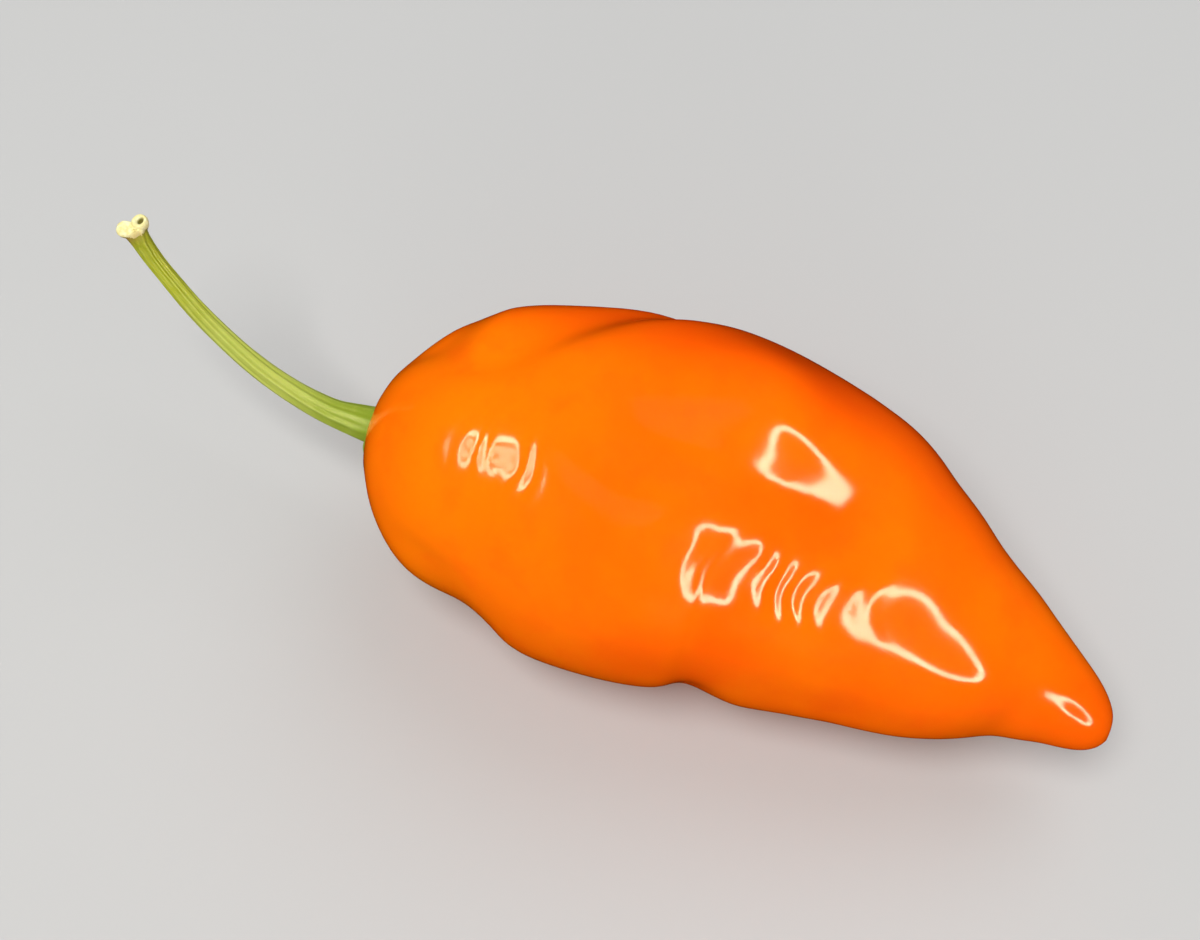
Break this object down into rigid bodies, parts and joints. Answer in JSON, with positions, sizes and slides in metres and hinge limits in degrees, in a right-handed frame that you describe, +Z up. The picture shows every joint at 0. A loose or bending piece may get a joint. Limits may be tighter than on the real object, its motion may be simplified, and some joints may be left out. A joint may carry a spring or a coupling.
{
  "type": "chilli pepper",
  "caption": "Ripe orange chilli pepper with a lobed, tapering, glossy pod and a curved green stalk with its calyx, lying on its side.",
  "frame": {"origin": "on the surface, under the middle of the whole pepper's bounding box", "axes": "+X along the pod from the shoulder to the tip, +Z up, +Y to the left as seen from above with the tip away"},
  "size_m": [0.0844, 0.0296, 0.029],
  "materials": {
    "ripe_skin": "smooth waxy skin, bright orange with redder furrows and paler ridges, wet-looking gloss",
    "stalk_skin": "yellow-green fleshy stalk with fine lengthwise ridges, pale corky scar at its end"
  },
  "bodies": {
    "root": {"pod": "ripe_skin", "stalk_with_calyx": "stalk_skin"}
  },
  "joints": []
}
